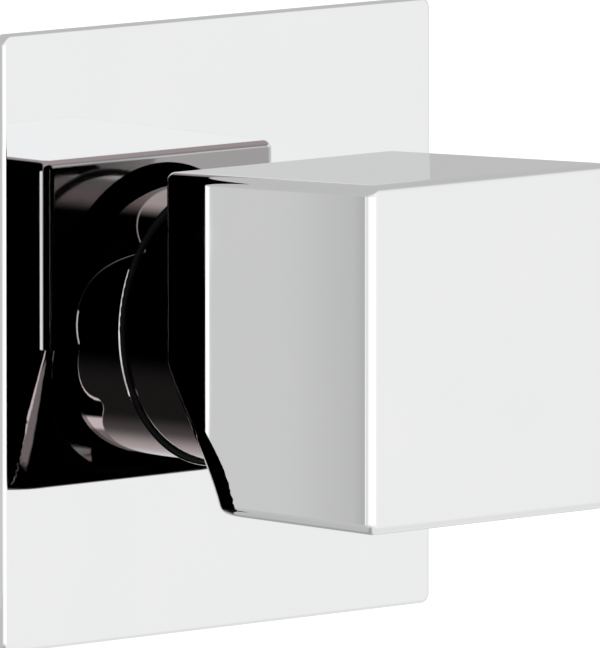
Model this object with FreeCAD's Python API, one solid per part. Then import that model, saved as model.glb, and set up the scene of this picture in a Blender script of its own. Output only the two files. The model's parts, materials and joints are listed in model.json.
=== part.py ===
import FreeCAD, Part
import math
import os

# A concealed two-way shower diverter: a square handle, a round sleeve and a square wall plate in
# front of the wall, and the ceramic disc valve behind them.
# Millimetres. The origin is on the valve's axis at the finished wall. +X is to the right of
# someone who faces the wall, +Y goes into the wall, -Y comes out of it, and +Z is up.
# A depth is a Y value, so what lies further out has the smaller depth. Sizes named half, radius,
# wall, gap or clearance are measured from an axis or between two faces.

Vector = FreeCAD.Vector
UP = Vector(0, 0, 1)
DOWN = Vector(0, 0, -1)
LEFT = Vector(-1, 0, 0)
RIGHT = Vector(1, 0, 0)
INWARD = Vector(0, 1, 0)
FULL_TURN = 360
NEAR = 1e-4

# Clearances
running_clearance = 0.06
location_clearance = 0.10
thread_clearance = 0.05
seal_clearance = 0.03
end_clearance = 0.30

# Ceramic discs
disc_radius = 9.4
disc_thickness = 4.0
disc_gap = 0.02
inlet_hole_radius = 2.6
outlet_hole_radius = 2.2
outlet_hole_offset = 6.2
disc_slot_depth = 2.4
notch_width = 4.0
notch_reach = 1.4
notch_depth = 1.6

# Disc driver
driver_thickness = 3.4
tongue_width = 5.0
tongue_depth = 2.0

# Spindle
spindle_radius = 5.0
spindle_flange_radius = 7.5
spindle_flange_thickness = 2.4
spline_radius = 4.0
spline_root = 3.55
spline_teeth = 20
spline_tip_share = 0.14
spline_root_share = 0.32
spline_lead = 0.6
spindle_flat_half = 4.4
o_ring_groove_depth = 1.1
o_ring_groove_width = 1.5
o_ring_spacing = 4.0
o_ring_setback = 3.2

# Thrust washer
washer_thickness = 0.6

# Cartridge housing
housing_wall = 2.75
housing_roof = 3.0
housing_neck_radius = 9.0
housing_neck_length = 13.0
housing_groove_depth = 1.2
housing_groove_width = 1.8
housing_groove_setback = 6.0

# Retaining clip and end stop on the spindle
clip_thickness = 1.0
clip_groove_depth = 0.7
clip_radius = 6.0
clip_mouth = 6.6
stop_collar_thickness = 3.0
stop_collar_radius = 6.6
stop_finger_width = 4.0
handle_turn = 90.0
stop_margin = 1.5

# Cartridge base and its gaskets
base_flange = 3.0
spigot_height = 1.5
disc_seal_thickness = 1.0
base_seal_thickness = 1.4
base_seal_rim = 1.2

# Cartridge nut
nut_thread_step = 1.4
nut_thread_length = 6.0
nut_hexagon_height = 5.0
nut_hexagon_flats = 26.0

# Valve body
floor_depth = 30.0
neck_wall = 4.05
sleeve_overlap = 12.0
neck_runout = 3.0
neck_groove_depth = 1.2
neck_groove_width = 1.8
neck_groove_setback = 4.0
barrel_step = 3.4
barrel_edge_radius = 3.0
port_bore_radius = 9.3
port_bore_length = 14.0
port_wall = 4.2
port_boss_length = 17.0
port_hexagon_length = 11.0
port_mouth_chamfer = 0.5
port_stem_step = 1.0
passage_radius = 5.0
passage_step = 0.25
passage_wall = 5.5
body_back_margin = 4.0
casting_radius = 1.5
lug_circle_radius = 32.0
lug_radius = 6.5
lug_thickness = 6.0
lug_hole_radius = 2.75
lug_angles = (45, 135)

# Sleeve
sleeve_wall = 1.4
sleeve_step = 0.7
sleeve_engagement = 14.5
sleeve_lip_chamfer = 0.4

# Wall plate, its grommet and its gasket
plate_side = 80.0
plate_thickness = 1.5
plate_corner_radius = 1.3
plate_edge_radius = 0.5
plate_hole_gap = 0.4
plate_hole_edge_radius = 0.25
grommet_rise = 0.25
grommet_flange_width = 2.5
grommet_flange_thickness = 0.8
gasket_thickness = 1.0
gasket_width = 6.0
gasket_inset = 3.0

# Handle
handle_standoff = 10.5
handle_depth = 38.0
handle_sleeve_gap = 2.15
handle_rim = 1.5
handle_draft = 0.75
handle_front_wall = 4.0
handle_long_edge_radius = 1.4
handle_front_edge_radius = 1.25
handle_back_edge_radius = 1.0
handle_side_edge_radius = 1.8
handle_slope_edge_radius = 7.0
relief_start = 3.0
relief_reach = 7.0
boss_radius = 9.5
boss_setback = 4.0
hub_wall = 2.6
hub_flange_width = 1.6
hub_flange_thickness = 1.5
screw_share = 0.6
screw_radius = 2.5
screw_length = 10.0
screw_socket_flats = 2.5
screw_socket_depth = 3.0
screw_point_chamfer = 0.8
screw_rib_half = 5.0
cap_radius = 3.2
cap_depth = 2.6
cap_recess = 0.15

# Sizes that follow, across the axis from the discs outwards
cavity_radius = disc_radius + end_clearance
housing_radius = cavity_radius + housing_wall
chamber_radius = housing_radius + location_clearance
nut_thread_radius = chamber_radius + nut_thread_step
neck_radius = chamber_radius + neck_wall
barrel_radius = neck_radius + barrel_step
sleeve_bore_radius = neck_radius + location_clearance
sleeve_radius = sleeve_bore_radius + sleeve_wall
plate_hole_radius = sleeve_radius + plate_hole_gap
recess_radius = sleeve_radius + handle_sleeve_gap
handle_back_half = recess_radius + handle_rim
handle_front_half = handle_back_half + handle_draft
spindle_bore_radius = spindle_radius + running_clearance
spline_bore_radius = spline_radius + location_clearance
hub_radius = spline_bore_radius + hub_wall
hub_bore_radius = hub_radius + thread_clearance

# Depths that follow, from the chamber's floor outwards
base_joint = floor_depth - base_flange
spigot_top = base_joint - spigot_height
fixed_disc_back = spigot_top - disc_seal_thickness
fixed_disc_front = fixed_disc_back - disc_thickness
turning_disc_back = fixed_disc_front - disc_gap
turning_disc_front = turning_disc_back - disc_thickness
driver_front = turning_disc_front - driver_thickness
flange_front = driver_front - spindle_flange_thickness
cavity_roof = flange_front - washer_thickness - 2 * running_clearance
nut_seat = cavity_roof - housing_roof
housing_front = nut_seat - housing_neck_length
nut_shoulder = nut_seat - nut_thread_length
neck_front = nut_shoulder + end_clearance
sleeve_back = neck_front + sleeve_overlap
barrel_front = sleeve_back + neck_runout
clip_back = housing_front - running_clearance
clip_front = clip_back - clip_thickness
stop_collar_back = clip_front - running_clearance
stop_collar_front = stop_collar_back - stop_collar_thickness

# Depths that follow, from the finished wall outwards
plate_back = -gasket_thickness
plate_front = plate_back - plate_thickness
handle_back = plate_front - handle_standoff
handle_front = handle_back - handle_depth
sleeve_front = handle_back - sleeve_engagement
boss_back = handle_back - boss_setback
recess_floor = handle_front + handle_front_wall
hub_flange_back = boss_back + hub_flange_thickness
hub_front = recess_floor + end_clearance
spindle_front = hub_front + end_clearance
spline_back = hub_flange_back + end_clearance
screw_depth = handle_back - screw_share * handle_depth
screw_point = -(spline_radius + thread_clearance)

# Depths and reaches that follow behind the chamber's floor
port_wall_radius = port_bore_radius + port_wall
port_depth = floor_depth + passage_wall + passage_radius
port_reach = barrel_radius + port_boss_length
body_back = port_depth + port_wall_radius + body_back_margin
throat_radius = inlet_hole_radius + passage_step
outlet_passage_end = outlet_hole_offset - outlet_hole_radius - passage_step


def on_axis(radius, front, back):
    """A cylinder on the valve's axis between two depths."""
    return Part.makeCylinder(radius, back - front, Vector(0, front, 0), INWARD)


def hole_beside_axis(radius, offset, front, back):
    """A cylinder parallel to the valve's axis, moved to the right by an offset."""
    return Part.makeCylinder(radius, back - front, Vector(offset, front, 0), INWARD)


def turned(profile):
    """A solid turned about the valve's axis from corners of radius and depth."""
    corners = [Vector(radius, depth, 0) for radius, depth in profile]
    face = Part.Face(Part.makePolygon(corners + corners[:1]))
    return face.revolve(Vector(0, 0, 0), INWARD, FULL_TURN)


def cord_ring(root_radius, wall_radius, depth):
    """A round rubber ring that fills the gap between a groove's root and the wall around it."""
    cord_radius = (wall_radius - root_radius) / 2 - seal_clearance
    return Part.makeTorus((wall_radius + root_radius) / 2, cord_radius, Vector(0, depth, 0), INWARD)


def block(half_width, front, back, low, high):
    """A box centred on X between two depths and two heights."""
    corner = Vector(-half_width, front, low)
    return Part.makeBox(2 * half_width, back - front, high - low, corner)


def square_prism(side, front, back):
    """A square block centred on the valve's axis between two depths."""
    return block(side / 2, front, back, -side / 2, side / 2)


def prism(corners, travel):
    """A solid pushed along a vector from a flat outline of corners."""
    return Part.Face(Part.makePolygon(corners + corners[:1])).extrude(travel)


def hexagon(flats, mouth, direction, across, length):
    """A hexagon bar from its mouth along a direction, with its corners turned off at the mouth."""
    flat_half = flats / 2
    corner_reach = flat_half / math.cos(math.pi / 6)
    upright = direction.cross(across)
    corners = []
    for step in range(6):
        angle = math.radians(60 * step)
        spot = across * (corner_reach * math.cos(angle)) + upright * (corner_reach * math.sin(angle))
        corners.append(mouth + spot)
    lead = (corner_reach - flat_half) * math.tan(math.pi / 6)
    turned_end = Part.makeCone(flat_half, corner_reach, lead, mouth, direction)
    rest = Part.makeCylinder(2 * flat_half, length, mouth + direction * lead, direction)
    return prism(corners, direction * length).common(turned_end.fuse(rest))


def spline_bar(tip_radius, root_radius, front, back):
    """A toothed bar on the valve's axis, two corners on the tip and two on the root of each tooth."""
    pitch = 2 * math.pi / spline_teeth
    corners = []
    tooth_corners = (
        (-spline_root_share, root_radius),
        (-spline_tip_share, tip_radius),
        (spline_tip_share, tip_radius),
        (spline_root_share, root_radius),
    )
    for tooth in range(spline_teeth):
        for share, radius in tooth_corners:
            angle = (tooth + share) * pitch
            corners.append(Vector(radius * math.cos(angle), front, radius * math.sin(angle)))
    return prism(corners, Vector(0, back - front, 0))


def numbers_along(shape, direction):
    """The numbers of the shape's straight edges that run within a few degrees of a direction."""
    found = []
    for number, edge in enumerate(shape.Edges):
        straight = isinstance(edge.Curve, (Part.Line, Part.LineSegment))
        if straight and abs(edge.tangentAt(edge.FirstParameter).dot(direction)) > 0.99:
            found.append(number)
    return found


def straight_edges_along(shape, direction):
    """The shape's straight edges that run within a few degrees of a direction."""
    return [shape.Edges[number] for number in numbers_along(shape, direction)]


def edges_on_plane(shape, point, normal):
    """The numbers of the shape's edges that lie in a plane."""
    found = set()
    for number, edge in enumerate(shape.Edges):
        spots = edge.discretize(5)
        if all(abs((spot - point).dot(normal)) < NEAR for spot in spots):
            found.add(number)
    return found


def outer_edges(shape, depth, radius):
    """The shape's edges at one depth that lie outside a radius about the valve's axis."""
    level = edges_on_plane(shape, Vector(0, depth, 0), INWARD)
    edges = [shape.Edges[number] for number in level]
    middles = [edge.valueAt((edge.FirstParameter + edge.LastParameter) / 2) for edge in edges]
    return [edge for edge, spot in zip(edges, middles) if math.hypot(spot.x, spot.z) > radius]


def edges_between(shape, first_radius, second_radius):
    """The shape's edges where a round wall of one radius meets a round wall of another."""
    wanted = sorted((first_radius, second_radius))
    found = []
    for edge in shape.Edges:
        walls = [face.Surface for face in shape.ancestorsOfType(edge, Part.Face)]
        radii = sorted(wall.Radius for wall in walls if isinstance(wall, Part.Cylinder))
        if len(radii) == 2 and all(abs(a - b) < NEAR for a, b in zip(radii, wanted)):
            found.append(edge)
    return found


def port_holes(front, back):
    """The three water holes through a piece: the inlet on the axis and an outlet on each side."""
    holes = on_axis(inlet_hole_radius, front, back)
    for side in (-1, 1):
        offset = side * outlet_hole_offset
        holes = holes.fuse(hole_beside_axis(outlet_hole_radius, offset, front, back))
    return holes


def rim_notches(width, reach, front, back, sideways):
    """Two notches cut into a disc's rim, at its sides or at its top and bottom."""
    start = disc_radius - reach
    notches = []
    for side in (-1, 1):
        middle = side * (start + disc_radius)
        centre = Vector(middle, 0, 0) if sideways else Vector(0, 0, middle)
        half = Vector(disc_radius, 0, width / 2) if sideways else Vector(width / 2, 0, disc_radius)
        corner = centre - half + Vector(0, front, 0)
        notches.append(Part.makeBox(2 * half.x, back - front, 2 * half.z, corner))
    return notches[0].fuse(notches[1])


def make_fixed_disc():
    disc = on_axis(disc_radius, fixed_disc_front, fixed_disc_back)
    disc = disc.cut(port_holes(fixed_disc_front, fixed_disc_back))
    notch_front = fixed_disc_back - notch_depth
    return disc.cut(rim_notches(notch_width, notch_reach, notch_front, fixed_disc_back, False))


def make_turning_disc():
    """The slot reaches from the axis to one outlet's distance and points down at rest."""
    disc = on_axis(disc_radius, turning_disc_front, turning_disc_back)
    slot_front = turning_disc_back - disc_slot_depth
    slot = on_axis(inlet_hole_radius, slot_front, turning_disc_back)
    far_end = Part.makeCylinder(
        outlet_hole_radius, disc_slot_depth, Vector(0, slot_front, -outlet_hole_offset), INWARD
    )
    run = block(outlet_hole_radius, slot_front, turning_disc_back, -outlet_hole_offset, 0)
    disc = disc.cut(slot.fuse(far_end).fuse(run))
    notch_back = turning_disc_front + notch_depth
    return disc.cut(rim_notches(notch_width, notch_reach, turning_disc_front, notch_back, True))


def make_disc_driver():
    driver = on_axis(disc_radius, driver_front, turning_disc_front)
    dog_back = turning_disc_front + notch_depth - location_clearance
    dogs = rim_notches(
        notch_width - 2 * location_clearance, notch_reach - location_clearance, driver_front, dog_back, True
    )
    driver = driver.fuse(dogs.common(on_axis(disc_radius, driver_front, dog_back)))
    slot_half = tongue_width / 2 + location_clearance
    slot_back = driver_front + tongue_depth + location_clearance
    return driver.cut(block(slot_half, driver_front, slot_back, -disc_radius, disc_radius)).removeSplitter()


def make_spindle():
    groove_radius = spindle_radius - o_ring_groove_depth
    profile = [
        (0, spline_back),
        (spindle_radius, spline_back),
        (spindle_radius, clip_front - running_clearance),
        (spindle_radius - clip_groove_depth, clip_front - running_clearance),
        (spindle_radius - clip_groove_depth, clip_back + running_clearance),
        (spindle_radius, clip_back + running_clearance),
    ]
    for depth in spindle_groove_depths():
        profile += [
            (spindle_radius, depth - o_ring_groove_width / 2),
            (groove_radius, depth - o_ring_groove_width / 2),
            (groove_radius, depth + o_ring_groove_width / 2),
            (spindle_radius, depth + o_ring_groove_width / 2),
        ]
    profile += [
        (spindle_radius, flange_front),
        (spindle_flange_radius, flange_front),
        (spindle_flange_radius, driver_front),
        (0, driver_front),
    ]
    spindle = turned(profile)
    for side in (-1, 1):
        far = side * spindle_radius
        near = side * spindle_flat_half
        flat = block(spindle_radius, stop_collar_front, stop_collar_back, min(near, far), max(near, far))
        spindle = spindle.cut(flat)
    tongue_back = driver_front + tongue_depth
    flange_radius = spindle_flange_radius
    tongue = block(tongue_width / 2, driver_front, tongue_back, -flange_radius, flange_radius)
    tongue = tongue.common(on_axis(flange_radius, driver_front, tongue_back))
    spline = spline_bar(spline_radius, spline_root, spindle_front, spline_back)
    lead = turned([
        (0, spindle_front),
        (spline_radius - spline_lead, spindle_front),
        (spline_radius, spindle_front + spline_lead),
        (spline_radius, spline_back),
        (0, spline_back),
    ])
    return spindle.fuse(tongue).fuse(spline.common(lead)).removeSplitter()


def spindle_groove_depths():
    """The depths of the two rubber rings, inside the housing's neck."""
    first = housing_front + o_ring_setback
    return (first, first + o_ring_spacing)


def make_spindle_o_rings():
    rings = [
        cord_ring(spindle_radius - o_ring_groove_depth, spindle_bore_radius, depth)
        for depth in spindle_groove_depths()
    ]
    return Part.makeCompound(rings)


def make_thrust_washer():
    front = cavity_roof + running_clearance
    back = front + washer_thickness
    return on_axis(spindle_flange_radius, front, back).cut(on_axis(spindle_bore_radius, front, back))


def make_spindle_clip():
    """An open ring that snaps into the spindle's groove from above."""
    inner = spindle_radius - clip_groove_depth + location_clearance
    ring = on_axis(clip_radius, clip_front, clip_back).cut(on_axis(inner, clip_front, clip_back))
    return ring.cut(block(clip_mouth / 2, clip_front, clip_back, 0, clip_radius))


def make_stop_collar():
    """A ring keyed to the spindle's flats, with one finger that points down at rest."""
    collar = on_axis(stop_collar_radius, stop_collar_front, stop_collar_back)
    finger = block(stop_finger_width / 2, stop_collar_front, stop_collar_back, -housing_neck_radius, 0)
    collar = collar.fuse(finger.common(on_axis(housing_neck_radius, stop_collar_front, stop_collar_back)))
    key_radius = spindle_radius + location_clearance
    key_half = spindle_flat_half + location_clearance
    key = on_axis(key_radius, stop_collar_front, stop_collar_back)
    key = key.common(block(key_radius, stop_collar_front, stop_collar_back, -key_half, key_half))
    return collar.cut(key).removeSplitter()


def make_end_stop():
    """The raised part of the housing's front that the collar's finger meets at both ends of its turn."""
    inner = stop_collar_radius + end_clearance
    ring = on_axis(housing_neck_radius, stop_collar_front, housing_front)
    ring = ring.cut(on_axis(inner, stop_collar_front, housing_front))
    finger_angle = math.degrees(math.asin(stop_finger_width / 2 / inner))
    half_angle = math.radians(180 - handle_turn - finger_angle - stop_margin)
    reach = 2 * housing_neck_radius
    corners = [Vector(0, stop_collar_front, 0)]
    for share in (-1, -0.5, 0.5, 1):
        angle = share * half_angle
        corners.append(Vector(reach * math.sin(angle), stop_collar_front, reach * math.cos(angle)))
    return ring.common(prism(corners, Vector(0, housing_front - stop_collar_front, 0)))


def make_cartridge_housing():
    groove_front = cavity_roof + housing_groove_setback
    groove_back = groove_front + housing_groove_width
    groove_radius = housing_radius - housing_groove_depth
    shell = turned([
        (spindle_bore_radius, housing_front),
        (housing_neck_radius, housing_front),
        (housing_neck_radius, nut_seat),
        (housing_radius, nut_seat),
        (housing_radius, groove_front),
        (groove_radius, groove_front),
        (groove_radius, groove_back),
        (housing_radius, groove_back),
        (housing_radius, base_joint),
        (cavity_radius, base_joint),
        (cavity_radius, cavity_roof),
        (spindle_bore_radius, cavity_roof),
    ])
    return shell.fuse(make_end_stop()).removeSplitter()


def make_housing_o_ring():
    depth = cavity_roof + housing_groove_setback + housing_groove_width / 2
    return cord_ring(housing_radius - housing_groove_depth, chamber_radius, depth)


def make_cartridge_base():
    """A flange under the housing and a spigot in it, with two lugs that hold the fixed disc still."""
    spigot_radius = cavity_radius - location_clearance
    base = on_axis(housing_radius, base_joint, floor_depth)
    base = base.fuse(on_axis(spigot_radius, spigot_top, base_joint))
    lug_top = fixed_disc_back - notch_depth + location_clearance
    lugs = rim_notches(
        notch_width - 2 * location_clearance, notch_reach - location_clearance, lug_top, spigot_top, False
    )
    base = base.fuse(lugs.common(on_axis(disc_radius, lug_top, spigot_top)))
    base = base.cut(port_holes(spigot_top, floor_depth))
    seal_radius = housing_radius - base_seal_rim
    return base.cut(on_axis(seal_radius, floor_depth - base_seal_thickness, floor_depth)).removeSplitter()


def make_base_seal():
    front = floor_depth - base_seal_thickness
    radius = housing_radius - base_seal_rim - seal_clearance
    return on_axis(radius, front, floor_depth).cut(port_holes(front, floor_depth))


def make_disc_seal():
    seal = on_axis(disc_radius, fixed_disc_back, spigot_top)
    seal = seal.cut(port_holes(fixed_disc_back, spigot_top))
    return seal.cut(rim_notches(notch_width, notch_reach, fixed_disc_back, spigot_top, False))


def make_cartridge_nut():
    bore = housing_neck_radius + location_clearance
    thread = on_axis(nut_thread_radius - thread_clearance, nut_shoulder, nut_seat)
    head_front = nut_shoulder - nut_hexagon_height
    head = hexagon(nut_hexagon_flats, Vector(0, head_front, 0), INWARD, RIGHT, nut_hexagon_height)
    return thread.fuse(head).cut(on_axis(bore, head_front, nut_seat)).removeSplitter()


def port_along(direction, start, radius, length):
    """A cylinder along one of the body's ports, from a distance off the valve's axis inwards."""
    mouth = Vector(0, port_depth, 0) + direction * start
    return Part.makeCylinder(radius, length, mouth, direction * -1)


def port_collar(direction):
    """The hexagon collar at a port's mouth, flats towards the wall and the room."""
    mouth = Vector(0, port_depth, 0) + direction * port_reach
    across = direction.cross(INWARD)
    return hexagon(2 * port_wall_radius, mouth, direction * -1, across, port_hexagon_length)


def port_inside(direction, end):
    """A port's threaded bore with a lead-in, then a wide passage and a narrow one towards the axis."""
    bore_end = port_reach - port_bore_length
    passage_end = end + 2 * passage_radius
    bore = port_along(direction, port_reach, port_bore_radius, port_bore_length)
    mouth = Vector(0, port_depth, 0) + direction * port_reach
    lead = Part.makeCone(
        port_bore_radius + port_mouth_chamfer, port_bore_radius, port_mouth_chamfer, mouth, direction * -1
    )
    wide = port_along(direction, bore_end, passage_radius, bore_end - passage_end)
    narrow = port_along(direction, bore_end, throat_radius, bore_end - end)
    return bore.fuse(lead).fuse(wide).fuse(narrow)


def body_hollow():
    """The chamber that takes the cartridge, wider at its mouth for the nut's thread."""
    thread_end = nut_seat + end_clearance
    chamber = on_axis(chamber_radius, neck_front, floor_depth)
    return chamber.fuse(on_axis(nut_thread_radius, neck_front, thread_end))


def make_valve_body():
    groove_front = neck_front + neck_groove_setback
    groove_back = groove_front + neck_groove_width
    groove_radius = neck_radius - neck_groove_depth
    body = turned([
        (0, neck_front),
        (neck_radius, neck_front),
        (neck_radius, groove_front),
        (groove_radius, groove_front),
        (groove_radius, groove_back),
        (neck_radius, groove_back),
        (neck_radius, barrel_front),
        (barrel_radius, barrel_front),
        (barrel_radius, body_back),
        (0, body_back),
    ])
    body = body.makeFillet(barrel_edge_radius, outer_edges(body, body_back, neck_radius))
    ports = ((DOWN, -throat_radius), (LEFT, outlet_passage_end), (RIGHT, outlet_passage_end))
    stem_radius = port_wall_radius - port_stem_step
    for direction, end in ports:
        body = body.fuse(port_along(direction, port_reach, stem_radius, port_reach))
    body = body.removeSplitter()
    body = body.makeFillet(casting_radius, edges_between(body, barrel_radius, stem_radius))
    for direction, end in ports:
        body = body.fuse(port_collar(direction))
    for angle in lug_angles:
        body = body.fuse(make_lug(math.radians(angle)))
    body = body.removeSplitter().cut(body_hollow())
    for direction, end in ports:
        body = body.cut(port_inside(direction, end))
    body = body.cut(port_holes(floor_depth, port_depth))
    for angle in lug_angles:
        x, z = lug_place(math.radians(angle))
        start = Vector(x, body_back - lug_thickness, z)
        body = body.cut(Part.makeCylinder(lug_hole_radius, lug_thickness, start, INWARD))
    return body


def lug_place(angle):
    return lug_circle_radius * math.cos(angle), lug_circle_radius * math.sin(angle)


def make_lug(angle):
    """A flat ear at the body's back, with a web that joins it to the barrel."""
    x, z = lug_place(angle)
    front = body_back - lug_thickness
    ear = Part.makeCylinder(lug_radius, lug_thickness, Vector(x, front, z), INWARD)
    across = Vector(-math.sin(angle), 0, math.cos(angle)) * lug_radius
    outer = Vector(x, front, z)
    inner = Vector(x, front, z) * (neck_radius / lug_circle_radius)
    inner.y = front
    web = prism([inner - across, inner + across, outer + across, outer - across], INWARD * lug_thickness)
    return ear.fuse(web)


def make_sleeve():
    """A tube that seats on the neck's end, with a thinner wall where it goes over the neck."""
    step_radius = sleeve_bore_radius - sleeve_step
    step_depth = neck_front - end_clearance
    return turned([
        (step_radius, sleeve_front),
        (sleeve_radius - sleeve_lip_chamfer, sleeve_front),
        (sleeve_radius, sleeve_front + sleeve_lip_chamfer),
        (sleeve_radius, sleeve_back),
        (sleeve_bore_radius, sleeve_back),
        (sleeve_bore_radius, step_depth),
        (step_radius, step_depth),
    ])


def make_sleeve_o_ring():
    depth = neck_front + neck_groove_setback + neck_groove_width / 2
    return cord_ring(neck_radius - neck_groove_depth, sleeve_bore_radius, depth)


def make_wall_plate():
    plate = square_prism(plate_side, plate_front, plate_back)
    plate = plate.makeFillet(plate_corner_radius, straight_edges_along(plate, INWARD))
    plate = plate.makeFillet(plate_edge_radius, outer_edges(plate, plate_front, plate_hole_radius))
    plate = plate.cut(on_axis(plate_hole_radius, plate_front, plate_back))
    rim = edges_on_plane(plate, Vector(0, plate_front, 0), INWARD)
    rim = [plate.Edges[number] for number in rim if isinstance(plate.Edges[number].Curve, Part.Circle)]
    rim = [edge for edge in rim if abs(edge.Curve.Radius - plate_hole_radius) < NEAR]
    return plate.makeFillet(plate_hole_edge_radius, rim)


def make_plate_seal():
    """A rubber grommet: a collar that stands a little out of the plate's hole and a flange behind it."""
    inner = sleeve_radius + seal_clearance
    waist = plate_hole_radius - seal_clearance
    flange_front_face = plate_back + seal_clearance
    return turned([
        (inner, plate_front - grommet_rise),
        (waist, plate_front - grommet_rise),
        (waist, flange_front_face),
        (waist + grommet_flange_width, flange_front_face),
        (waist + grommet_flange_width, flange_front_face + grommet_flange_thickness),
        (inner, flange_front_face + grommet_flange_thickness),
    ])


def make_wall_gasket():
    outer_side = plate_side - 2 * gasket_inset
    ring = square_prism(outer_side, plate_back, 0)
    return ring.cut(square_prism(outer_side - 2 * gasket_width, plate_back, 0))


def rounded(shape, groups):
    """The shape with groups of its edges rounded in one step, each with an upper and a lower radius."""
    radii = []
    for numbers, upper, lower in groups:
        for number in numbers:
            edge = shape.Edges[number]
            rises = edge.valueAt(edge.LastParameter).z > edge.valueAt(edge.FirstParameter).z
            first, last = (lower, upper) if rises else (upper, lower)
            radii.append((number + 1, first, last))
    document = FreeCAD.newDocument()
    sharp = document.addObject("Part::Feature", "Sharp")
    sharp.Shape = shape
    soft = document.addObject("Part::Fillet", "Soft")
    soft.Base = sharp
    soft.Edges = radii
    document.recompute()
    result = soft.Shape.copy()
    FreeCAD.closeDocument(document.Name)
    return result


def handle_outside():
    """A square block that narrows towards the wall, with the underside of its back sloped away."""
    front_half = handle_front_half
    back_half = handle_back_half
    outside = Part.makeWedge(
        -front_half, handle_front, -front_half, -back_half, -back_half,
        front_half, handle_back, front_half, back_half, back_half
    )
    slope_top = Vector(-front_half, handle_back, -relief_start)
    slope = Vector(0, -relief_reach, relief_start - front_half)
    wedge = [slope_top, slope_top + slope * 2, slope_top + Vector(0, 0, 2 * slope.z)]
    outside = outside.cut(prism(wedge, Vector(2 * front_half, 0, 0)))
    on_front = edges_on_plane(outside, Vector(0, handle_front, 0), INWARD)
    on_back = edges_on_plane(outside, Vector(0, handle_back, 0), INWARD)
    on_slope = edges_on_plane(outside, slope_top, slope.cross(RIGHT).normalize())
    lengthwise = set(range(len(outside.Edges))) - on_front - on_back - on_slope
    level = set(numbers_along(outside, RIGHT))
    return rounded(outside, [
        (on_front, handle_front_edge_radius, handle_front_edge_radius),
        (lengthwise, handle_long_edge_radius, handle_long_edge_radius),
        ((on_back ^ on_slope) & level, handle_back_edge_radius, handle_back_edge_radius),
        (on_back - on_slope - level, handle_side_edge_radius, handle_side_edge_radius),
        (on_slope - on_back - level, handle_side_edge_radius, handle_slope_edge_radius),
    ])


def screw_way(radius, start, end):
    """A vertical cylinder on the grub screw's axis between two heights."""
    return Part.makeCylinder(radius, end - start, Vector(0, screw_depth, start), UP)


def handle_underside():
    """The height of the handle's underside at the grub screw."""
    return -(handle_back_half + screw_share * handle_draft)


def make_handle():
    recess = on_axis(recess_radius, recess_floor, handle_back)
    boss = on_axis(boss_radius, recess_floor, boss_back)
    rib_front = screw_depth - screw_rib_half
    rib_back = screw_depth + screw_rib_half
    rib = block(screw_rib_half, rib_front, rib_back, -recess_radius, 0)
    handle = handle_outside().cut(recess.cut(boss.fuse(rib)))
    handle = handle.cut(on_axis(hub_bore_radius, recess_floor, boss_back))
    bottom = handle_underside() - handle_draft
    handle = handle.cut(screw_way(screw_radius + thread_clearance, bottom, -spline_radius))
    cap_floor = handle_underside() + cap_recess + cap_depth
    return handle.cut(screw_way(cap_radius + location_clearance, bottom, cap_floor)).removeSplitter()


def make_handle_hub():
    hub = turned([
        (0, hub_front),
        (hub_radius, hub_front),
        (hub_radius, boss_back),
        (hub_radius + hub_flange_width, boss_back),
        (hub_radius + hub_flange_width, hub_flange_back),
        (0, hub_flange_back),
    ])
    spline = spline_bar(spline_bore_radius, spline_root + location_clearance, hub_front, hub_flange_back)
    screw_hole = screw_way(screw_radius + location_clearance, -hub_bore_radius, -spline_root)
    return hub.cut(spline).cut(screw_hole)


def make_handle_screw():
    foot = screw_point - screw_length
    thread = screw_way(screw_radius, foot, screw_point - screw_point_chamfer)
    point = Part.makeCone(
        screw_radius, screw_radius - screw_point_chamfer, screw_point_chamfer,
        Vector(0, screw_depth, screw_point - screw_point_chamfer), UP
    )
    reach = screw_socket_flats / 2 / math.cos(math.pi / 6)
    angles = [math.radians(60 * step) for step in range(6)]
    corners = [Vector(reach * math.cos(a), screw_depth + reach * math.sin(a), foot) for a in angles]
    return thread.fuse(point).cut(prism(corners, UP * screw_socket_depth)).removeSplitter()


def make_handle_screw_cap():
    low = handle_underside() + cap_recess
    return screw_way(cap_radius, low, low + cap_depth)


PIECES = {
    "handle": make_handle,
    "handle_hub": make_handle_hub,
    "handle_screw": make_handle_screw,
    "handle_screw_cap": make_handle_screw_cap,
    "wall_plate": make_wall_plate,
    "plate_seal": make_plate_seal,
    "wall_gasket": make_wall_gasket,
    "sleeve": make_sleeve,
    "sleeve_o_ring": make_sleeve_o_ring,
    "cartridge_nut": make_cartridge_nut,
    "cartridge_housing": make_cartridge_housing,
    "housing_o_ring": make_housing_o_ring,
    "cartridge_base": make_cartridge_base,
    "base_seal": make_base_seal,
    "disc_seal": make_disc_seal,
    "fixed_disc": make_fixed_disc,
    "turning_disc": make_turning_disc,
    "disc_driver": make_disc_driver,
    "spindle": make_spindle,
    "spindle_o_rings": make_spindle_o_rings,
    "thrust_washer": make_thrust_washer,
    "spindle_clip": make_spindle_clip,
    "stop_collar": make_stop_collar,
    "valve_body": make_valve_body,
}

os.makedirs("parts", exist_ok=True)
for node, make in PIECES.items():
    shape = make()
    shape.exportStep(f"parts/{node}.step")
    volume = sum(solid.Volume for solid in shape.Solids) / 1000
    print(f"{node}: {len(shape.Solids)} solid, {volume:.2f} cm3, valid {shape.isValid()}")
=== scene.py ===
# %% [markdown]
# # A concealed shower diverter
# A square handle turns on a round sleeve in front of a square wall plate, all polished chrome, and
# a brass valve sits in the wall behind them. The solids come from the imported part, already in place
# and in metres. This lesson gives them their finishes, a plain studio and the camera.

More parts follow.
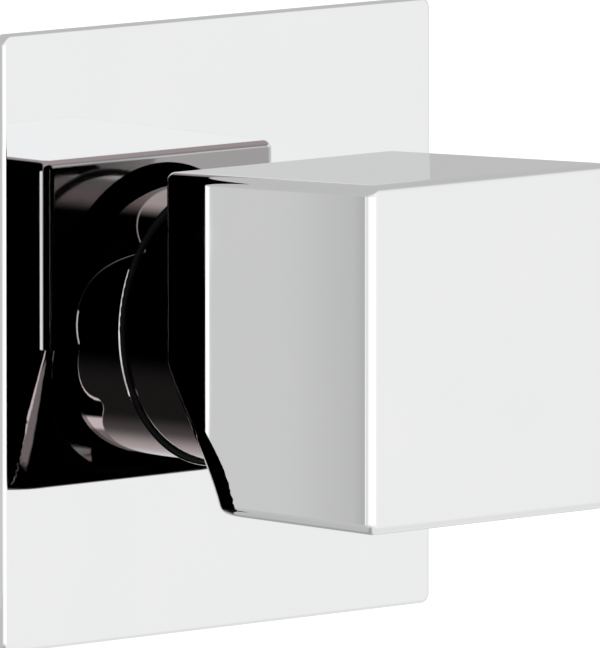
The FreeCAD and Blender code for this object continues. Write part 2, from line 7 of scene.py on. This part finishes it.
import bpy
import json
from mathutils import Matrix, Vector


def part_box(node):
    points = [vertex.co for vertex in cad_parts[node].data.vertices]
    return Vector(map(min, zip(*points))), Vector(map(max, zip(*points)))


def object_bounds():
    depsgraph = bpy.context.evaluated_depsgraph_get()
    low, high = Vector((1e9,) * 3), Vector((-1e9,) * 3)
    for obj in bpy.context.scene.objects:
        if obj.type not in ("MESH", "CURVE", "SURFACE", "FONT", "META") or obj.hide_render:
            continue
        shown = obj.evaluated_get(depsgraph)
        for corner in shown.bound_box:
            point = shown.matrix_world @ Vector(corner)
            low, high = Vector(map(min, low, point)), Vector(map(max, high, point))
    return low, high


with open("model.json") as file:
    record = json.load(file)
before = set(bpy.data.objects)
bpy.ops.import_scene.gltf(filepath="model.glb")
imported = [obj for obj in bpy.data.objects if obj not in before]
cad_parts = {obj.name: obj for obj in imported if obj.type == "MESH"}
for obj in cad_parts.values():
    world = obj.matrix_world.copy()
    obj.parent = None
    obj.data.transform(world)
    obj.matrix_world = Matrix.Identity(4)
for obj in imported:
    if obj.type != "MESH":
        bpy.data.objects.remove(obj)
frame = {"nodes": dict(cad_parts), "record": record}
cad_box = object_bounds()

# %% [markdown]
# ## The camera
# The part is seen from the left, a little above its middle, with a long lens, so upright lines stay
# upright and far edges are hardly shorter than near ones. A shifted lens could move the picture over
# the part. Here the camera stands a few metres away with a plain, very long lens. It is placed by two
# angles and then slid sideways, so the plate sits left of the middle and the handle leaves the frame
# on the right.

# %% Set the camera
import math

import bpy
from mathutils import Matrix, Vector

camera_azimuth = math.radians(-46.4)
camera_elevation = math.radians(5.8)
camera_distance = 2.6
view_height = 0.0843
slide_right = 0.01045
slide_up = -0.0002

level_towards_camera = Vector((math.sin(camera_azimuth), -math.cos(camera_azimuth), 0))
rise = Vector((0, 0, math.sin(camera_elevation)))
towards_camera = level_towards_camera * math.cos(camera_elevation) + rise
image_right = Vector((math.cos(camera_azimuth), math.sin(camera_azimuth), 0))
image_up = towards_camera.cross(image_right)

plate_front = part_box("wall_plate")[0][1]
plate_centre = Vector((0, plate_front, 0))

camera = bpy.data.objects.new("camera", bpy.data.cameras.new("camera"))
bpy.context.scene.collection.objects.link(camera)
camera.location = (
    plate_centre + towards_camera * camera_distance + image_right * slide_right + image_up * slide_up
)
camera.rotation_euler = Matrix((image_right, image_up, towards_camera)).transposed().to_euler()
camera.data.lens = camera.data.sensor_width * camera_distance / view_height
bpy.context.scene.camera = camera
bpy.context.scene.view_settings.view_transform = "Standard"
print("lens of", round(camera.data.lens), "mm")

# %% [markdown]
# ## Writing shader maths
# A node tree is easier to read as a sum than as a list of links. A Wire is one socket, and adding or
# multiplying it adds a Math node. A Bench is the tree it belongs to, and makes every other node from
# its type, its settings and the values of its sockets.

# %% Two small helpers for node trees
class Wire:
    """One output socket, with Python's operators as Math nodes."""

    def __init__(self, bench, socket):
        self.bench = bench
        self.socket = socket

    def maths(self, operation, first, second):
        return self.bench.node("ShaderNodeMath", {"operation": operation}, {0: first, 1: second})

    def __add__(self, other):
        return self.maths("ADD", self, other)

    def __radd__(self, other):
        return self.maths("ADD", other, self)

    def __sub__(self, other):
        return self.maths("SUBTRACT", self, other)

    def __rsub__(self, other):
        return self.maths("SUBTRACT", other, self)

    def __mul__(self, other):
        return self.maths("MULTIPLY", self, other)

    def __rmul__(self, other):
        return self.maths("MULTIPLY", other, self)

    def __truediv__(self, other):
        return self.maths("DIVIDE", self, other)

    def __rtruediv__(self, other):
        return self.maths("DIVIDE", other, self)

    def __neg__(self):
        return self.maths("MULTIPLY", self, -1)

    def __lt__(self, other):
        return self.maths("LESS_THAN", self, other)

    def __gt__(self, other):
        return self.maths("GREATER_THAN", self, other)


class Bench:
    """A node tree to work on."""

    def __init__(self, tree):
        self.tree = tree
        tree.nodes.clear()

    def node(self, kind, settings, inputs, output=0):
        made = self.tree.nodes.new(kind)
        for name, value in settings.items():
            setattr(made, name, value)
        for name, value in inputs.items():
            if isinstance(value, Wire):
                self.tree.links.new(value.socket, made.inputs[name])
            else:
                made.inputs[name].default_value = value
        return Wire(self, made.outputs[output]) if made.outputs else None

    def ramp(self, value, low, high, start=0.0, end=1.0):
        """A smooth climb from start to end while the value goes from low to high."""
        settings = {"interpolation_type": "SMOOTHSTEP"}
        stops = {0: value, 1: low, 2: high, 3: start, 4: end}
        return self.node("ShaderNodeMapRange", settings, stops)

    def blend(self, share, first, second):
        """One colour turning into another: a Mix node's colours are its sockets 6 and 7."""
        return self.node("ShaderNodeMix", {"data_type": "RGBA"}, {0: share, 6: first, 7: second}, 2)

    def axes(self, vector):
        """The three numbers of a vector."""
        split = self.node("ShaderNodeSeparateXYZ", {}, {0: vector})
        return [Wire(self, socket) for socket in split.socket.node.outputs]


print("helpers:", Wire.__name__, Bench.__name__)

# %% [markdown]
# ## The studio
# Polished chrome has almost no colour of its own: it shows the room. The room could be a picture
# wrapped round the part, or a set of lamps. Here it is a soft tent, written as a sum of the
# direction's parts, so it is smooth and has no lamps to clip. First the direction is split: how far
# it points to the right of the picture, to the camera's side, and up or down.

# %% The directions of the tent
world = bpy.data.worlds.new("studio")
bpy.context.scene.world = world
world.use_nodes = True
bench = Bench(world.node_tree)

ceiling_tilt = 0.25
direction = bench.node("ShaderNodeTexCoord", {}, {}, "Generated")
east, north, up = bench.axes(direction)
to_right_front = east * image_right.x + north * image_right.y
to_camera_side = east * level_towards_camera.x + north * level_towards_camera.y
upwards = bench.ramp(up - to_right_front * ceiling_tilt, 0.15, 0.45)
downwards = bench.ramp(up, -0.60, -0.30, 1.0, 0.0)
level = (1 - upwards) * (1 - downwards)
print("direction nodes:", len(world.node_tree.nodes))

# %% [markdown]
# ### Light on the tent
# The tent's walls are paler to the right and greyer behind, its ceiling is grey, and its ground is
# palest on the right. One narrow strip light hangs on the camera's side, a little below level, for
# the white lines along rounded edges. A wide light there would turn whole faces white.

# %% The light on walls, ceiling and ground
wall_light = 0.86
more_on_the_right = 0.215
less_behind = 0.31
more_in_front = 0.12
strip_light = 0.36
strip_drop = 0.10
strip_core = 0.02
strip_reach = 0.05
ceiling_light = 0.62
ground_left = 0.60
ground_middle = 0.42
ground_right = 0.94

off_strip = up + strip_drop
strip = bench.ramp(off_strip * off_strip, strip_core ** 2, strip_reach ** 2, 1.0, 0.0)
front_light = bench.ramp(to_camera_side, 0.0, 1.0, 0.0, more_in_front)
front_light = front_light + bench.ramp(to_camera_side, 0.45, 0.90, 0.0, strip_light) * strip
back_shade = bench.node("ShaderNodeMath", {"operation": "MINIMUM"}, {0: to_camera_side, 1: 0.0})
walls = wall_light + to_right_front * more_on_the_right + back_shade * less_behind + front_light
ground = bench.ramp(to_right_front, -0.60, -0.30, ground_left, ground_middle)
ground = ground + bench.ramp(to_right_front, -0.15, 0.25, 0.0, ground_right - ground_middle)
room = level * walls + upwards * ceiling_light + downwards * ground
print("tent nodes:", len(world.node_tree.nodes))

# %% [markdown]
# ### Chrome that shows chrome
# The black part of the picture is chrome seen in chrome: plate, sleeve and handle face each other,
# and between them they show the dark side of the studio, where the photographer stands. Black cards
# could be hung there, but they would darken the open faces too. So light that has met the part more
# than once finds a second, darker room: black in front and low behind, bright to the right, and warm
# and dim below. Light Path counts a ray's meetings, with the world as the last one.

# %% The darker room between the faces
two_on_the_part = 2.5
right_wall = 0.83
right_band = 0.36
right_fall = 0.75
dark_ceiling = 0.50
low_right = 0.45
glow_near = 0.09
glow_far = 0.015
floor_spot = 0.14

meetings = bench.node("ShaderNodeLightPath", {}, {}, "Ray Depth")
again = meetings > two_on_the_part
beside = bench.ramp(to_camera_side, 0.24, 0.42, 1.0, 0.0)
beside = beside * bench.ramp(to_camera_side + up, -1.30, -1.05)
right_light = right_wall + bench.ramp(up, 0.085, 0.115, 0.0, right_band)
right_light = right_light - bench.ramp(up, 0.27, 0.40, 0.0, right_fall)
left_light = bench.ramp(to_right_front, -0.60, -0.40, 1.0, 0.0)
left_light = left_light * bench.ramp(to_camera_side * to_camera_side, 0.015, 0.04, 1.0, 0.0)
low_light = bench.ramp(to_right_front, 0.60, 0.85, 0.0, low_right)
front_glow = bench.ramp(to_camera_side, 0.0, 0.2)
front_glow = front_glow * bench.ramp(to_camera_side, 0.33, 0.55, glow_near, glow_far)
front_glow = front_glow * bench.ramp(to_right_front, -0.45, -0.20)
floor_glow = bench.ramp(up, -0.80, -0.73, floor_spot, 0.0)
floor_glow = floor_glow * bench.ramp(to_camera_side + to_right_front * 0.5, 0.0, 0.15)
dark_room = level * (right_light * beside + left_light) + upwards * beside * dark_ceiling
dark_room = dark_room + downwards * (low_light + front_glow + floor_glow)
print("nodes with the darker room:", len(world.node_tree.nodes))

# %% [markdown]
# ### The slope's edge in the plate
# The plate shows the slope under the handle's back, and the slope shows the plate again. Light that
# has met the part three times finds the low part of the room black, but for a line and a faint glow
# beside it, which draw the slope's rounded edge in the plate. Then the two rooms are put together,
# and the camera itself sees plain white.

# %% The line, the glow and the whole world
three_on_the_part = 3.5
edge_glow_light = 0.28
white = (1, 1, 1, 1)
warm = (1.0, 0.83, 0.83, 1)

deep = (meetings > three_on_the_part) * bench.ramp(up, -0.45, -0.25, 1.0, 0.0)
past_line = bench.ramp(to_right_front, 0.06, 0.10)
edge_line = bench.ramp(to_right_front, -0.06, -0.02) - past_line
edge_glow = past_line - bench.ramp(to_right_front, 0.38, 0.46)
edge_glow = edge_glow * bench.ramp(up, -0.735, -0.705, edge_glow_light, 0.0)
dark_room = deep * (edge_line + edge_glow) + (1 - deep) * dark_room

seen_by_camera = bench.node("ShaderNodeLightPath", {}, {}, "Is Camera Ray")
strength = seen_by_camera + (1 - seen_by_camera) * (again * dark_room + (1 - again) * room)
tint = bench.blend((downwards + upwards) * again, white, warm)
background = bench.node("ShaderNodeBackground", {}, {"Color": tint, "Strength": strength})
bench.node("ShaderNodeOutputWorld", {}, {"Surface": background})
print("world nodes:", len(world.node_tree.nodes))

# %% [markdown]
# ### Cards
# The rest of the studio is flat: a light panel and the floor. Corners could be listed one by one, but
# a unit square that a matrix stretches and turns makes a card of any size from one corner and two
# sides.

# %% A helper that hangs a card
import bmesh


def card(name, corner, along, upward):
    """A flat card from one corner and its two sides, with a material of its own."""
    mesh = bpy.data.meshes.new(name)
    shape = bmesh.new()
    bmesh.ops.create_grid(shape, x_segments=1, y_segments=1, size=0.5)
    normal = along.cross(upward).normalized()
    place = Matrix((along, upward, normal)).transposed().to_4x4()
    place.translation = corner + (along + upward) / 2
    bmesh.ops.transform(shape, matrix=place, verts=shape.verts)
    shape.to_mesh(mesh)
    shape.free()
    made = bpy.data.objects.new(name, mesh)
    bpy.context.scene.collection.objects.link(made)
    finish = bpy.data.materials.new(name)
    finish.use_nodes = True
    mesh.materials.append(finish)
    return made, Bench(finish.node_tree)


print("helper:", card.__name__)

# %% [markdown]
# ### A light panel on the left
# The handle's left face looks to the left of the part, along the wall. The tent could be brighter
# there, but a thin white line on a flat face needs a near light with a sharp end. So a light panel
# hangs there, seen by reflections alone. Its end by the wall is bright and draws that line, its
# middle dims towards the front, and its front end is bright again, for the rounded front edge.

# %% Hang the light panel
panel_left = 0.12
panel_back = 0.03
panel_foot = -0.045
panel_length = 0.155
panel_height = 0.059
panel_light = 0.72
bright_end_light = 0.88
middle_shade = 0.10
edge_shade = 0.08
front_end_light = 0.6

panel_corner = image_right * -panel_left + level_towards_camera * -panel_back
panel_corner = panel_corner + Vector((0, 0, panel_foot))
panel_length_side = level_towards_camera * panel_length
panel, bench = card("left_panel", panel_corner, panel_length_side, Vector((0, 0, panel_height)))
for ray in ("camera", "diffuse", "transmission", "volume_scatter", "shadow"):
    setattr(panel, f"visible_{ray}", False)

east, north, up = bench.axes(bench.node("ShaderNodeTexCoord", {}, {}, "Object"))
towards = east * level_towards_camera.x + north * level_towards_camera.y
bright_end = bench.ramp(towards, 0.0311, 0.0316, bright_end_light, 0.0) * bench.ramp(up, -0.032, -0.020)
light = panel_light + bright_end - bench.ramp(towards, 0.040, 0.052, 0.0, middle_shade)
light = light - bench.ramp(towards, 0.0505, 0.0525, 0.0, edge_shade)
light = light + bench.ramp(towards, 0.056, 0.085, 0.0, front_end_light)
lamp = bench.node("ShaderNodeEmission", {}, {"Strength": light})
bench.node("ShaderNodeOutputMaterial", {}, {"Surface": lamp})
print("panel at", [round(value, 3) for value in panel_corner])

# %% [markdown]
# ## The floor
# The part hangs on a wall that isn't shown, so the floor lies a little below it. A plain white floor
# would look grey in this light. Its own glow makes up what the tent's light lacks, so it looks white
# to the camera and still takes a soft shadow. From below it is clear, so that the underside of the
# part can be looked at too.

# %% Lay the floor
floor_gap = 0.015
floor_side = 6.0
floor_grey = (0.8, 0.8, 0.8, 1)
own_glow = 0.61

floor_height = cad_box[0][2] - floor_gap
floor_corner = Vector((-floor_side / 2, -floor_side / 2, floor_height))
floor, bench = card("floor", floor_corner, Vector((floor_side, 0, 0)), Vector((0, floor_side, 0)))
floor.visible_glossy = False

paint = bench.node("ShaderNodeBsdfDiffuse", {}, {"Color": floor_grey})
seen_by_camera = bench.node("ShaderNodeLightPath", {}, {}, "Is Camera Ray")
lift = bench.node("ShaderNodeEmission", {}, {"Strength": seen_by_camera * own_glow})
surface = bench.node("ShaderNodeAddShader", {}, {0: paint, 1: lift})
from_below = bench.node("ShaderNodeNewGeometry", {}, {}, "Backfacing")
clear = bench.node("ShaderNodeBsdfTransparent", {}, {})
surface = bench.node("ShaderNodeMixShader", {}, {0: from_below, 1: surface, 2: clear})
bench.node("ShaderNodeOutputMaterial", {}, {"Surface": surface})
print("floor at", round(floor_height, 4), "m")

# %% [markdown]
# ## Finishes
# A finish could be a picture wrapped round each piece, but then every piece has to be unwrapped first.
# Here each one is a formula that reads the piece's own coordinates in metres, so its grain keeps its
# size and moves with the piece. All vary their colour and their gloss a little, as real ones do, and
# all but the lapped ceramic have a fine relief.

# %% A place to keep the finishes
finishes = {}


def start_finish(slot):
    """A bare material for one of the record's slots, with the piece's coordinates."""
    made = bpy.data.materials.new(slot)
    made.use_nodes = True
    finishes[slot] = made
    tree = Bench(made.node_tree)
    return tree, tree.node("ShaderNodeTexCoord", {}, {}, "Object")


def end_finish(tree, **sockets):
    """Closes a finish with one shader."""
    named = {name.replace("_", " "): value for name, value in sockets.items()}
    shader = tree.node("ShaderNodeBsdfPrincipled", {}, named)
    tree.node("ShaderNodeOutputMaterial", {}, {"Surface": shader})


# %% [markdown]
# ### Tools for the finishes
# Four things come back in several finishes: soft blotches, relief, the distance from an axis for what
# is round, and a mask that covers two places. Each is a short function, so that a finish reads as a
# recipe.

# %% Blotches, relief, distance and masks
def noise(tree, place, scale, detail=3.0, roughness=0.5):
    """Soft random blotches, scale per metre, around a half."""
    sockets = {"Vector": place, "Scale": scale, "Detail": detail, "Roughness": roughness}
    return tree.node("ShaderNodeTexNoise", {}, sockets)


def relief(tree, height, depth):
    """A surface raised by a height, times a depth in metres."""
    return tree.node("ShaderNodeBump", {}, {"Height": height, "Distance": depth, "Strength": 1.0})


def distance_from_axis(tree, first, second):
    """How far a point lies from an axis, from its two coordinates across it."""
    return tree.node("ShaderNodeMath", {"operation": "SQRT"}, {0: first * first + second * second})


def either(tree, first, second):
    """A mask that covers what either of two masks covers."""
    return tree.node("ShaderNodeMath", {"operation": "MAXIMUM"}, {0: first, 1: second})


print("tools:", noise.__name__, relief.__name__, distance_from_axis.__name__, either.__name__)

# %% [markdown]
# ### Polished chrome
# Handle, sleeve and plate are plated with bright chrome, which gives back most of the light, a touch
# bluer than silver. A thin veil of wiped-off water changes its gloss here and there, and polishing
# leaves it very slightly wavy. The faces that look at the wall and the handle's hollow back are a
# little dull, where the polisher's wheel doesn't reach, and painted shade darkens them, most on the
# left. They could have a material of their own, but masks in one material need no cut in the mesh.

# %% Bright chrome, and painted shade on its back faces
recess_radii = (0.0185, 0.0212)
recess_depths = (-0.0475, -0.0135)
chrome_colours = ((0.775, 0.78, 0.785, 1), (0.80, 0.80, 0.805, 1))
# painted shade: dark colours for the back faces and the hollow, the darker one on the left
shade_colours_behind = ((0.32, 0.30, 0.295, 1), (0.66, 0.63, 0.625, 1))

tree, place = start_finish("polished_chrome")
across, along, upright = tree.axes(place)
veil = noise(tree, place, scale=55.0, detail=4.0)
waves = noise(tree, place, scale=38.0, detail=1.0)
bright = tree.blend(veil, *chrome_colours)

facing = tree.axes(tree.node("ShaderNodeTexCoord", {}, {}, "Normal"))
# the faces towards the wall and the hollow's ring get a little dullness and painted shade
behind = tree.ramp(facing[1], 0.94, 0.99)
radius = distance_from_axis(tree, across, upright)
inside = (radius > recess_radii[0]) * (radius < recess_radii[1])
inside = inside * (along < recess_depths[1]) * (along > recess_depths[0])
dull = either(tree, behind, inside)
# painted shade on those faces, darker on the left than on the right
painted_shade_behind = tree.blend(tree.ramp(across, -0.012, 0.002), *shade_colours_behind)
print("chrome nodes for colour:", len(tree.tree.nodes))

# %% [markdown]
# ### The lip round the plate's hole
# Punching the plate's hole turns up a small lip round it. It could be modelled, but it is finer than
# the plate's own rounding, so it is drawn as relief, near mid-height, where it catches the light. Then
# the chrome's colour, gloss and relief go into one shader.

# %% The lip, and the chrome's shader
grommet_width = 0.0004
lip_width = 0.0004
lip_height = 8.6e-4
lip_fade = (3e-5, 9e-5)  # squares of the height above the axis
front_tolerance = 0.0002
wave_height = 3e-6
dull_roughness = 0.05

hole_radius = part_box("sleeve")[1][0] + grommet_width
on_front = (along < plate_front + front_tolerance) * (along > plate_front - front_tolerance)
lip_stops = {0: radius, 1: hole_radius, 2: hole_radius + lip_width, 3: 1.0, 4: 0.0}
lip = tree.node("ShaderNodeMapRange", {}, lip_stops)
lip = lip * tree.ramp(upright * upright, *lip_fade, 1.0, 0.0)
end_finish(
    tree,
    # painted shade: the masked faces take the dark colours
    Base_Color=tree.blend(dull, bright, painted_shade_behind),
    Metallic=1.0,
    Roughness=tree.ramp(veil, 0.35, 0.75, 0.012, 0.035) + dull * dull_roughness,
    Normal=relief(tree, waves * wave_height + lip * on_front * lip_height, 1.0),
)
print("polished_chrome:", len(tree.tree.nodes), "nodes")

# %% [markdown]
# ### Turned brass
# The spindle, hub and nut are turned from bar, so fine rings run round the valve's axis. A Wave
# texture along that axis gives them at once, and it changes the gloss as well as the relief.

# %% Turned brass
tree, place = start_finish("brass")
tarnish = noise(tree, place, scale=140.0, detail=4.0)
ring_sockets = {"Vector": place, "Scale": 900.0, "Distortion": 1.5, "Detail": 2.0}
rings = tree.node("ShaderNodeTexWave", {"bands_direction": "Y"}, ring_sockets)
end_finish(
    tree,
    Base_Color=tree.blend(tarnish, (0.60, 0.42, 0.17, 1), (0.80, 0.60, 0.30, 1)),
    Metallic=1.0,
    Roughness=0.2 + rings * 0.12 + tarnish * 0.08,
    Normal=relief(tree, rings, depth=4e-6),
)
print("brass:", len(tree.tree.nodes), "nodes")

# %% [markdown]
# ### Threads in the ports
# Pipes screw into three ports of the valve's body. A thread could be swept along a helix, which makes
# a heavy mesh for what is seen only down a hole. Here it is relief: the distance along a port's axis
# plus the turn round it, folded into ridges once for each pitch.

# %% A helper for threads
thread_pitch = 0.00181
thread_radius = 0.0098
thread_start = 0.0232


def thread(tree, distance, first, second):
    """Thread ridges on a wall round an axis, and the mask of where that wall is."""
    angle = tree.node("ShaderNodeMath", {"operation": "ARCTAN2"}, {0: first, 1: second})
    turn = angle / (2 * math.pi)
    fold = {0: distance / thread_pitch + turn, 1: 0.5}
    phase = tree.node("ShaderNodeMath", {"operation": "PINGPONG"}, fold)
    radius = distance_from_axis(tree, first, second)
    inside = (radius < thread_radius) * (distance > thread_start)
    return phase * 2, inside


print("helper:", thread.__name__)

# %% [markdown]
# ### Cast brass
# The valve's body is cast: its skin is grainy and dull, and it is bright only where a tool has cut it,
# on the neck that the sleeve screws on and inside the threaded ports. One material with masks keeps
# the body one piece, as it is when it leaves the mould.

# %% Cast brass with cut threads
port_depth = 0.0405
neck_end = 0.0162
skin_share = 0.25

tree, place = start_finish("cast_brass")
across, along, upright = tree.axes(place)
grain = noise(tree, place, scale=1500.0, detail=3.0, roughness=0.6)
stains = noise(tree, place, scale=90.0, detail=5.0)
back = along - port_depth
side = tree.node("ShaderNodeMath", {"operation": "ABSOLUTE"}, {0: across})
outlet_ridges, outlet_mask = thread(tree, side, back, upright)
inlet_ridges, inlet_mask = thread(tree, -upright, across, back)
bright = either(tree, outlet_mask + inlet_mask, along < neck_end)
skin = grain * (1 - bright) * skin_share
ridges = outlet_ridges * outlet_mask + inlet_ridges * inlet_mask
dull = tree.blend(stains, (0.40, 0.26, 0.11, 1), (0.66, 0.47, 0.22, 1))
end_finish(
    tree,
    Base_Color=tree.blend(bright, dull, (0.78, 0.58, 0.28, 1)),
    Metallic=1.0,
    Roughness=bright * 0.22 + (1 - bright) * (0.38 + stains * 0.2),
    Normal=relief(tree, skin + ridges, depth=7e-4),
)
print("cast_brass:", len(tree.tree.nodes), "nodes")

# %% [markdown]
# ### Stainless steel
# The clip and the grub screw are drawn steel with fine lines. Noise that is squeezed along one axis
# looks like lines of uneven length, as drawing leaves them, where a Wave texture is too even.

# %% Stainless steel
line_squeeze = (1.0, 1.0, 30.0)
tree, place = start_finish("stainless_steel")
squeezed = tree.node("ShaderNodeMapping", {}, {"Vector": place, "Scale": line_squeeze})
lines = noise(tree, squeezed, scale=400.0, detail=2.0)
end_finish(
    tree,
    Base_Color=tree.blend(lines, (0.50, 0.50, 0.52, 1), (0.64, 0.64, 0.66, 1)),
    Metallic=1.0,
    Roughness=0.24 + lines * 0.16,
    Normal=relief(tree, lines, depth=3e-6),
)
print("stainless_steel:", len(tree.tree.nodes), "nodes")

# %% [markdown]
# ### Rubber and foam
# The seals are black rubber, dull, with a dusty bloom and tiny pores. The gasket behind the plate is
# closed-cell foam. Noise would do for both, but a Voronoi texture has the round cells of a foam.

# %% Rubber and foam
tree, place = start_finish("black_rubber")
bloom = noise(tree, place, scale=220.0, detail=5.0)
pores = noise(tree, place, scale=2600.0, detail=2.0)
end_finish(
    tree,
    Base_Color=tree.blend(bloom, (0.006, 0.006, 0.007, 1), (0.018, 0.0175, 0.017, 1)),
    Roughness=0.5 + bloom * 0.3,
    Specular_IOR_Level=0.2,
    Normal=relief(tree, pores, depth=1.5e-5),
)
print("black_rubber:", len(tree.tree.nodes), "nodes")

tree, place = start_finish("foam_rubber")
cells = tree.node("ShaderNodeTexVoronoi", {}, {"Vector": place, "Scale": 1700.0}, "Distance")
patches = noise(tree, place, scale=120.0, detail=3.0)
end_finish(
    tree,
    Base_Color=tree.blend(patches, (0.045, 0.045, 0.048, 1), (0.085, 0.085, 0.09, 1)),
    Roughness=0.75 + patches * 0.2,
    Normal=relief(tree, cells, depth=1.2e-4),
)
print("foam_rubber:", len(tree.tree.nodes), "nodes")

# %% [markdown]
# ### Moulded plastic
# Housing, base and washer are white plastic, and driver, collar and screw cap are grey. Both come out
# of a mould with a faint texture and soft flow marks, so one loop makes them with two pairs of
# colours.

# %% Moulded plastic
for slot, dark, light in (
    ("white_plastic", (0.78, 0.78, 0.75, 1), (0.86, 0.86, 0.84, 1)),
    ("grey_plastic", (0.38, 0.39, 0.41, 1), (0.46, 0.47, 0.49, 1)),
):
    tree, place = start_finish(slot)
    flow = noise(tree, place, scale=110.0, detail=4.0)
    texture = noise(tree, place, scale=3000.0, detail=2.0)
    end_finish(
        tree,
        Base_Color=tree.blend(flow, dark, light),
        Roughness=0.38 + flow * 0.18,
        Normal=relief(tree, texture, depth=8e-6),
    )
    print(slot + ":", len(tree.tree.nodes), "nodes")

# %% [markdown]
# ### Lapped ceramic
# The two discs that steer the water are lapped until they seal on each other: creamy, hard and glossy,
# with a few darker specks. A thin coat over a rougher base gives the wet shine.

# %% Lapped ceramic
speck_share = 0.35
tree, place = start_finish("ceramic")
specks = tree.ramp(noise(tree, place, scale=1900.0, detail=2.0), 0.62, 0.75)
clouds = noise(tree, place, scale=160.0, detail=3.0)
cream = tree.blend(clouds, (0.87, 0.86, 0.82, 1), (0.92, 0.915, 0.89, 1))
end_finish(
    tree,
    Base_Color=tree.blend(specks * speck_share, cream, (0.62, 0.59, 0.54, 1)),
    Roughness=0.12 + clouds * 0.10,
    Coat_Weight=0.3,
    Coat_Roughness=0.05,
)
print("ceramic:", len(tree.tree.nodes), "nodes")

# %% [markdown]
# ## Dress the solids
# The record says which finish each piece has, so a loop over it can't miss one. A piece keeps its
# shape: only its material slot changes.

# %% Give each piece its finish
for part in frame["record"]["subparts"]:
    piece = frame["nodes"][part["node"]]
    piece.data.materials.clear()
    piece.data.materials.append(finishes[part["material_slot"]])

# %% [markdown]
# ## Finish

# %% Close
import json
